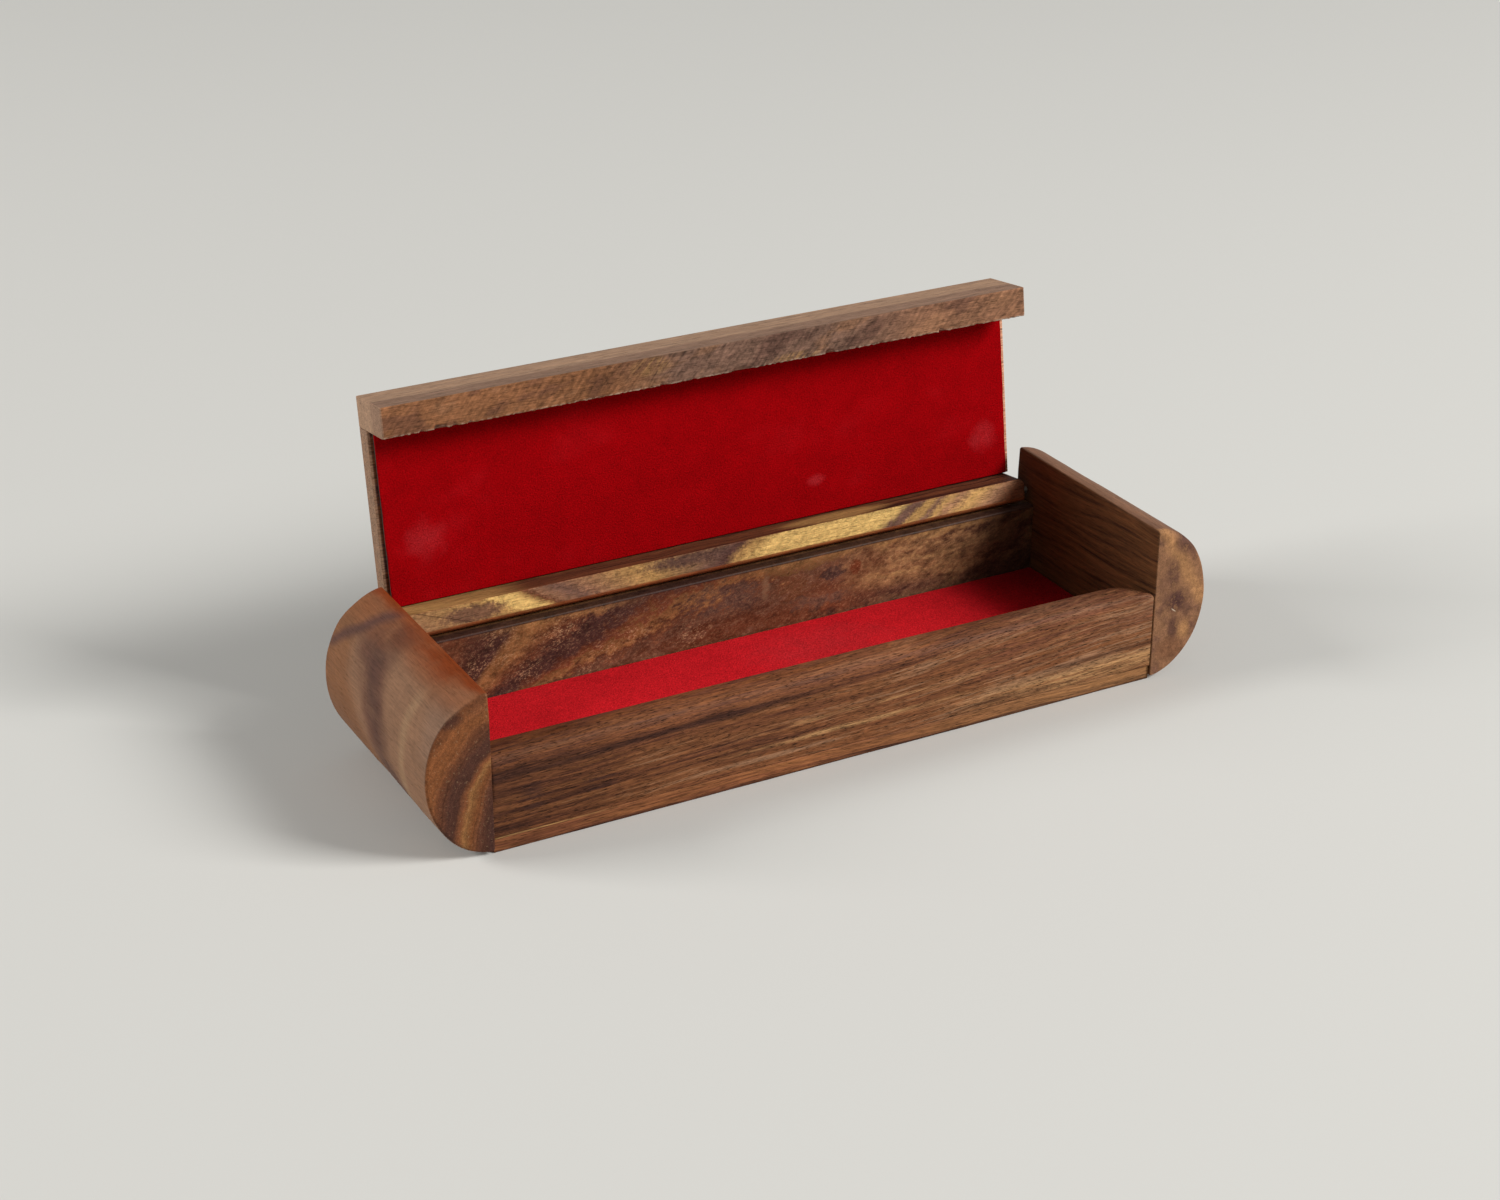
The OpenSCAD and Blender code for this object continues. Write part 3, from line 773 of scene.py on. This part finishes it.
def block_outline(swell, half_h, soft):
    """Half-ellipse and flat inner side: how far out and how high, and which way the surface faces."""
    arc, steps, flat = 60, 6, 26
    outline = []
    for i in range(arc + 1):
        angle = math.pi * (i / arc - 0.5)
        if swell * math.cos(angle) > soft:
            facing = Vector((half_h * math.cos(angle), swell * math.sin(angle))).normalized()
            outline.append((swell * math.cos(angle), half_h * math.sin(angle), facing))
    top = half_h - soft

    def corner(sign, turns):
        for k in turns:
            angle = math.pi / 2 * k / steps
            facing = Vector((-math.sin(angle), sign * math.cos(angle)))
            outline.append((soft * (1 + facing[0]), sign * top + soft * facing[1], facing))

    corner(1, range(steps + 1))
    outline.extend((0, top - 2 * top * k / flat, Vector((-1, 0))) for k in range(1, flat))
    corner(-1, range(steps, -1, -1))
    return outline


def end_block(low, high, side, rim, corner):
    """Half-round block: rings along its depth, with a rim that is rounder towards the top."""
    steps, rings, caps = 6, 34, 14
    fine, soft, spread = 0.15, 0.7, 6
    # The curved side is sanded a little hollow in places
    sanded, sanded_size, sanded_from = 0.3, 15, Vector((31, 5, 11))
    inner_x = high.x if side < 0 else low.x
    swell, mid_z = high.x - low.x, (low.z + high.z) / 2
    half_h = (high.z - low.z) / 2
    outline = block_outline(swell, half_h, soft)
    count = len(outline)
    points, faces = [], []

    def place(out, y, z):
        spot = Vector((inner_x + side * out, y, mid_z + z))
        worn = min(0, sanded * noise.noise((spot + sanded_from) / sanded_size)) * soft_step(out, 0, 4)
        spot.x += side * worn
        spot.z += worn * (z / half_h) * 0.6
        return spot

    def ring(front, over, share=0):
        """A ring over the rim, where over goes from 0 to 1, or along the depth by a share of it."""
        for out, z, facing in outline:
            upper = soft_step(z, half_h * 0.62, half_h)
            turn = rim + (corner - rim) * upper * (1 if front else 0.5)
            turn *= 1 + 0.35 * noise.noise(Vector((out / 6, 3 if front else 9, z / 6)))
            least = fine + (soft - fine) * upper
            turn = least + (turn - least) * soft_step(out, 0, spread)
            inset = turn * (1 - math.sin(math.pi / 2 * over))
            step = turn * (1 - math.cos(math.pi / 2 * over))
            if share:
                y = low.y + turn + (high.y - low.y - 2 * turn) * share
            else:
                y = low.y + step if front else high.y - step
            points.append(place(out - facing[0] * inset, y, z - facing[1] * inset))
        return len(points) - count

    order = [ring(True, k / steps) for k in range(steps + 1)]
    order += [ring(True, 1, j / rings) for j in range(1, rings)]
    order += [ring(False, k / steps) for k in range(steps, -1, -1)]
    around = [(i, (i + 1) % count) for i in range(count)]
    for first, second in zip(order, order[1:]):
        faces.extend([first + i, first + j, second + j, second + i] for i, j in around)
    # Each end is closed by rings that shrink to one point
    for edge, flip in ((order[0], False), (order[-1], True)):
        heart = Vector((inner_x + side * swell * 0.4, points[edge].y, mid_z))
        inner = edge
        for level in range(1, caps + 1):
            share, start, closed = 1 - level / caps, len(points), level == caps
            points.extend(heart + (points[edge + i] - heart) * share for i in range(1 if closed else count))
            for i, j in around:
                face = [inner + i, inner + j] + ([start] if closed else [start + j, start + i])
                faces.append(face if flip else face[::-1])
            inner = start
    if side > 0:
        faces = [face[::-1] for face in faces]
    return points, faces


# Operators

class PENBOX_OT_end_blocks(bpy.types.Operator):
    """Carve the two half-round end blocks"""
    bl_idname = "penbox.end_blocks"
    bl_label = "End blocks"

    def execute(self, context):
        shape = settings()[0]
        for name, side, wood in (("left", -1, left_block_wood), ("right", 1, right_block_wood)):
            node = name + "_end_block"
            block = end_block(*box_mm(node), side, shape.block_rim / MM, shape.block_corner / MM)
            piece(node, block, wood(), slot=name + "_block_wood")
        return {"FINISHED"}


class PENBOX_OT_front_panel(bpy.types.Operator):
    """Plane the front panel, whose face runs over into a crowned top"""
    bl_idname = "penbox.front_panel"
    bl_label = "Front panel"

    def execute(self, context):
        low, high = box_mm("front_panel")
        middle = (low + high) / 2
        round_over = settings()[0].round_over / MM
        crown, crest = 18, low.y + 2.5
        end, arris, inner, sharp = 0.03, 0.3, 0.7, 1
        # Sanding has dipped the top close to the right block, and brought the face flush with it
        worn, outer_dip, inner_dip, flush = 8.5, 1, 1.6, 0.5
        wave, wave_size = 0.25, 26

        def near_end(p):
            return soft_step(p.x, high.x - 18, high.x - 2)

        def ease(p):
            if p.z < middle.z:
                return end, arris, arris
            turn = round_over + (sharp - round_over) * near_end(p) if p.y < middle.y else inner
            return end, turn, turn

        def warp(p):
            top = soft_step(p.z, high.z - 6, high.z - 2)
            fall = crown - math.sqrt(max(crown ** 2 - (p.y - crest) ** 2, 0))
            fall += 0.3 * soft_step(p.x, 0, high.x) * soft_step(p.y, low.y + 3, high.y)
            dip = max(0, (p.x - high.x + worn) / worn) ** 2.2
            fall += dip * (outer_dip + inner_dip * soft_step(p.y, low.y, low.y + 6))
            p.z += top * (min(0, wave * noise.noise(p / wave_size)) - fall)
            p.y -= flush * near_end(p) * soft_step(p.y, low.y + 3, low.y)
            return p

        shape = board(low, high, (1, 0.7, 1), (
            both(end), ((round_over, sharp, arris), (inner, arris)),
            ((arris,), (round_over, sharp, inner))), ease, warp)
        piece("front_panel", shape, front_panel_wood())
        return {"FINISHED"}


class PENBOX_OT_back_panel(bpy.types.Operator):
    """Cut the back panel, whose inner face lies flush with the lid's rail"""
    bl_idname = "penbox.back_panel"
    bl_label = "Back panel"

    def execute(self, context):
        low, high = box_mm("back_panel")
        arris = settings()[0].arris / MM
        end, hollow = 0.03, 0.12

        def warp(p):
            if p.y < low.y + 2:
                p.y += hollow * (1 + noise.noise(p / 9)) * soft_step(p.z, high.z - 0.5, high.z - 4)
            return p

        shape = board(low, high, (1.4, 1.5, 1), (both(end), both(arris), both(arris)),
                      lambda p: (end, arris, arris), warp)
        piece("back_panel", shape, back_panel_wood())
        return {"FINISHED"}


class PENBOX_OT_bottom_board(bpy.types.Operator):
    """Lay the thin board under both panels"""
    bl_idname = "penbox.bottom_board"
    bl_label = "Bottom board"

    def execute(self, context):
        low, high = box_mm("bottom_board")
        most, least, end = 0.4, 0.22, 0.03

        def ease(p):
            turn = least + (most - least) * (1 + noise.noise(p / 7)) / 2
            return end, turn, turn

        shape = board(low, high, (2, 2, 1), (both(end), both(most), both(most)), ease)
        piece("bottom_board", shape, bottom_board_wood())
        return {"FINISHED"}


class PENBOX_OT_lid_panel(bpy.types.Operator):
    """Saw the thin panel of the lid"""
    bl_idname = "penbox.lid_panel"
    bl_label = "Lid panel"

    def execute(self, context):
        low, high = box_mm("lid_panel")
        # The tongues stay hidden, so the board runs only from the lip to the rail
        low.y, high.y = box_mm("lid_front_lip")[1].y, box_mm("lid_rear_rail")[0].y
        arris, glued = 0.3, 0.1
        shape = board(low, high, (1.8, 1.5, 1.2), (both(arris),) * 3, lambda p: (arris, glued, arris))
        piece("lid_panel", shape, lid_panel_wood())
        return {"FINISHED"}


class PENBOX_OT_lid_lip(bpy.types.Operator):
    """Saw the lid's front lip and chip its inner edge"""
    bl_idname = "penbox.lid_lip"
    bl_label = "Lid lip"

    def execute(self, context):
        low, high = box_mm("lid_front_lip")
        depth = settings()[0].chip / MM
        arris, reach = 0.25, 1.5
        nibble, uneven, tooth = 0.12, 0.2, 0.9
        # Where chips start along the lip, how far each runs, and how deep it is
        chips = ((-83.2, 1.4, 0.5), (-79, 3.2, 1), (-74.4, 1.6, 0.5), (-70.2, 1.5, 0.45),
                 (-58, 1.2, 0.3), (-40.5, 1.6, 0.3), (-17.6, 1.8, 0.5), (-8.4, 1.4, 0.4),
                 (3.3, 7, 0.45), (12.6, 1.3, 0.4), (16, 1.4, 0.4), (30.6, 3, 1),
                 (47, 1.6, 0.4), (65.5, 2.6, 0.75), (77, 1.6, 0.4))

        def warp(p):
            corner = soft_step(p.y, high.y - reach, high.y) * soft_step(p.z, low.z + reach, low.z)
            if corner > 0:
                bite = nibble + uneven * noise.noise(Vector((p.x / tooth, 0, 3)))
                for start, run, deep in chips:
                    along = (p.x - start) / run
                    if 0 <= along <= 1:
                        bite = max(bite, deep * depth * (1 - along) ** 0.5 * (1 + noise.noise(p * 2) * 0.4))
                p.y -= corner * max(bite, 0)
                p.z += corner * max(bite, 0) * 0.8
            return p

        shape = board(low, high, (0.4, 0.45, 1), (both(arris),) * 3, lambda p: (arris,) * 3, warp)
        piece("lid_front_lip", shape, lid_lip_wood(), "lid_lip_wood", "lip_wood")
        return {"FINISHED"}


class PENBOX_OT_lid_rail(bpy.types.Operator):
    """Shape the lid's rear rail, with its lower back corner rounded to turn"""
    bl_idname = "penbox.lid_rail"
    bl_label = "Lid rail"

    def execute(self, context):
        low, high = box_mm("lid_rear_rail")
        middle = (low + high) / 2
        arris, turning, worn = 0.25, 1.3, 2.4

        def ease(p):
            if p.y > middle.y:
                turn = turning if p.z < middle.z else arris
                return arris, turn, turn
            near = soft_step(p.x, high.x - 2 * worn, high.x - worn)
            return (worn if p.x > middle.x else arris), arris + (worn - arris) * near, arris

        shape = board(low, high, (1, 0.6, 0.9), (
            ((arris,), (worn, arris)), ((worn, arris), (turning, arris)),
            ((turning, arris), (arris,))), ease)
        piece("lid_rear_rail", shape, lid_rail_wood(), "lid_rail_wood", "rail_wood")
        return {"FINISHED"}


def nap_over(low, high, seed):
    """Bends a board into a velvet sheet: an uneven nap over a flat back, and a cut edge."""
    shift = Vector((seed, seed * 2, seed * 3))
    margin, tuft, roll, fray, pressed = 0.6, 0.07, 0.08, 0.14, 0.03

    def warp(p):
        upper = soft_step(p.z, low.z + 0.2, high.z - 0.1)
        nap = tuft * noise.noise((p + shift) / 1.1) + roll * noise.noise((p + shift) / 9)
        p.z += upper * min(0, nap - pressed)
        edge = fray * noise.noise((p + shift) / 2.3)
        if p.x < low.x + margin or p.x > high.x - margin:
            p.x += edge if p.x < 0 else -edge
        return p

    return warp


def lay_velvet(name, node, low, high, warp, cloth):
    """A velvet sheet, laid flat and glued on its card."""
    edge = 0.25
    shape = board(low, high, (1.1, 1.1, 0.5), (both(edge),) * 3, lambda p: (edge,) * 3, warp)
    made = piece(node, shape, cloth, name, "velvet")


class PENBOX_OT_linings(bpy.types.Operator):
    """Lay the two velvet linings on their cards"""
    bl_idname = "penbox.linings"
    bl_label = "Velvet linings"

    def execute(self, context):
        low, high = box_mm("floor_lining")
        cloth = velvet_cloth("floor velvet", "floor_velvet", 9.8, [(18, 10, 26, 14, 0.35)], right_end_painted_shade=0.6)
        lay_velvet("floor_velvet", "floor_lining", low, high, nap_over(low, high, 4), cloth)

        def flip(p):
            return Vector((p.x, p.y, -p.z))

        # The lid's pile faces down when the lid is shut
        low, high = box_mm("lid_lining")
        warp = nap_over(Vector((low.x, low.y, -high.z)), Vector((high.x, high.y, -low.z)), 9)
        cloth = velvet_cloth("lid velvet", "velvet", 36.6, [
            (-81, 8, 7, 7, 0.36), (30.7, 14.5, 3.6, 2, 0.5), (84, 12.5, 5.5, 5.5, 0.4)])
        lay_velvet("lid_velvet", "lid_lining", low, high, lambda p: flip(warp(flip(p))), cloth)
        return {"FINISHED"}


class PENBOX_OT_hidden_pieces(bpy.types.Operator):
    """Give the floor board, cards, dowels, pins and brads their materials"""
    bl_idname = "penbox.hidden_pieces"
    bl_label = "Hidden pieces"

    def execute(self, context):
        for material, nodes in (
                (card_stock(), ("floor_card", "lid_card")),
                (plain_wood(), ("floor_board", "front_panel_dowels", "back_panel_dowels")),
                (drawn_steel(), ("left_hinge_pin", "right_hinge_pin", "bottom_brads"))):
            for node in nodes:
                mesh = frame["nodes"][node].data
                mesh.materials.clear()
                mesh.materials.append(material)
        return {"FINISHED"}


class PENBOX_OT_stage(bpy.types.Operator):
    """Set up the pale floor, the lamps and the camera"""
    bl_idname = "penbox.stage"
    bl_label = "Stage"

    def execute(self, context):
        studio = settings()[2]
        pale = tuple(settings()[1].floor)
        scene = context.scene
        scene.view_settings.view_transform = "Standard"
        lay_floor(pale)
        light_sky(scene, pale, studio.sky)
        hang_lamp("key lamp", (1, -1, 1), 1.1, studio.key)
        hang_lamp("fill lamp", (-1, 0.45, 0.6), 1.2, studio.fill)
        set_camera(scene, studio)
        return {"FINISHED"}


def lay_floor(pale):
    """A floor whose far edge fades into the background."""
    reach, fade_start, fade_end = 2.4, 1150, 2200
    f = Finish("studio floor")
    cloud = f.cloud(f.x * 0.002, f.y * 0.002, 0)
    far = (f.x ** 2 + f.y ** 2) ** 0.5
    f.surface({"Base Color": f.lay(pale, (cloud, tuple(0.98 * part for part in pale))),
               "Alpha": f.rise(far, fade_end, fade_start), "Roughness": 0.9, "Specular IOR Level": 0.1})
    corners = [(-reach, -reach, 0), (reach, -reach, 0), (reach, reach, 0), (-reach, reach, 0)]
    put_mesh("studio_floor", corners, [(0, 1, 2, 3)], f.material)


def light_sky(scene, pale, strength):
    """Even light from all round; the camera sees the floor's colour in its place."""
    world = bpy.data.worlds.new("studio sky")
    world.use_nodes = True
    sky = Nodes(world.node_tree)
    seen = [sky.add("ShaderNodeLightPath", output=ray)
            for ray in ("Is Camera Ray", "Is Glossy Ray", "Is Transmission Ray")]
    plain = sky.add("ShaderNodeBackground", None, {"Color": (*pale, 1)})
    lit = sky.add("ShaderNodeBackground", None, {"Color": (1, 0.99, 0.97, 1), "Strength": strength})
    mixed = sky.add("ShaderNodeMixShader", None, {0: seen[0] + seen[1] + seen[2], 1: lit, 2: plain})
    sky.add("ShaderNodeOutputWorld", None, {"Surface": mixed})
    scene.world = world


def aim(made, place, view):
    made.location = place
    made.rotation_euler = view.to_track_quat("-Z", "Y").to_euler()


def hang_lamp(name, toward, size, power):
    """A square lamp that shines on the box from a direction."""
    lamp = bpy.data.lights.new(name, "AREA")
    lamp.shape, lamp.size, lamp.energy = "SQUARE", size, power
    lamp.color = (1, 0.98, 0.95)
    middle, far = Vector((0, 0, 0.03)), 3
    place = middle + Vector(toward).normalized() * far
    aim(put(name, lamp), place, middle - place)


def set_camera(scene, studio):
    lens = bpy.data.cameras.new("photo camera")
    lens.sensor_fit, lens.sensor_width, lens.lens = "HORIZONTAL", 36, studio.lens
    lens.clip_start, lens.clip_end = 0.01, 50
    turn, level = studio.azimuth, math.cos(studio.elevation)
    scene.camera = put("photo camera", lens)
    aim(scene.camera, studio.place,
        Vector((math.sin(turn) * level, math.cos(turn) * level, -math.sin(studio.elevation))))


class PENBOX_PT_panel(bpy.types.Panel):
    """Lists what makes the pen box, in the order in which it is made"""
    bl_label = "Pen box"
    bl_idname = "PENBOX_PT_panel"
    bl_space_type = "VIEW_3D"
    bl_region_type = "UI"
    bl_category = "Pen Box"

    def draw(self, context):
        for group in settings():
            box = self.layout.box()
            for name in group.__annotations__:
                box.prop(group, name)
        for operator in OPERATORS:
            self.layout.operator(operator.bl_idname)


GROUPS = (("pen_box_shape", PenBoxShape), ("pen_box_colours", PenBoxColours),
          ("pen_box_studio", PenBoxStudio))
OPERATORS = (PENBOX_OT_stage, PENBOX_OT_end_blocks, PENBOX_OT_front_panel, PENBOX_OT_back_panel,
             PENBOX_OT_bottom_board, PENBOX_OT_lid_panel, PENBOX_OT_lid_lip, PENBOX_OT_lid_rail,
             PENBOX_OT_linings, PENBOX_OT_hidden_pieces)


def register():
    for name, group in GROUPS:
        bpy.utils.register_class(group)
        setattr(bpy.types.Scene, name, bpy.props.PointerProperty(type=group))
    for operator in OPERATORS:
        bpy.utils.register_class(operator)
    bpy.utils.register_class(PENBOX_PT_panel)


def unregister():
    bpy.utils.unregister_class(PENBOX_PT_panel)
    for operator in reversed(OPERATORS):
        bpy.utils.unregister_class(operator)
    for name, group in reversed(GROUPS):
        delattr(bpy.types.Scene, name)
        bpy.utils.unregister_class(group)


def main():
    register()
    for operator in OPERATORS:
        family, name = operator.bl_idname.split(".")
        getattr(getattr(bpy.ops, family), name)()


if __name__ == "__main__":
    main()
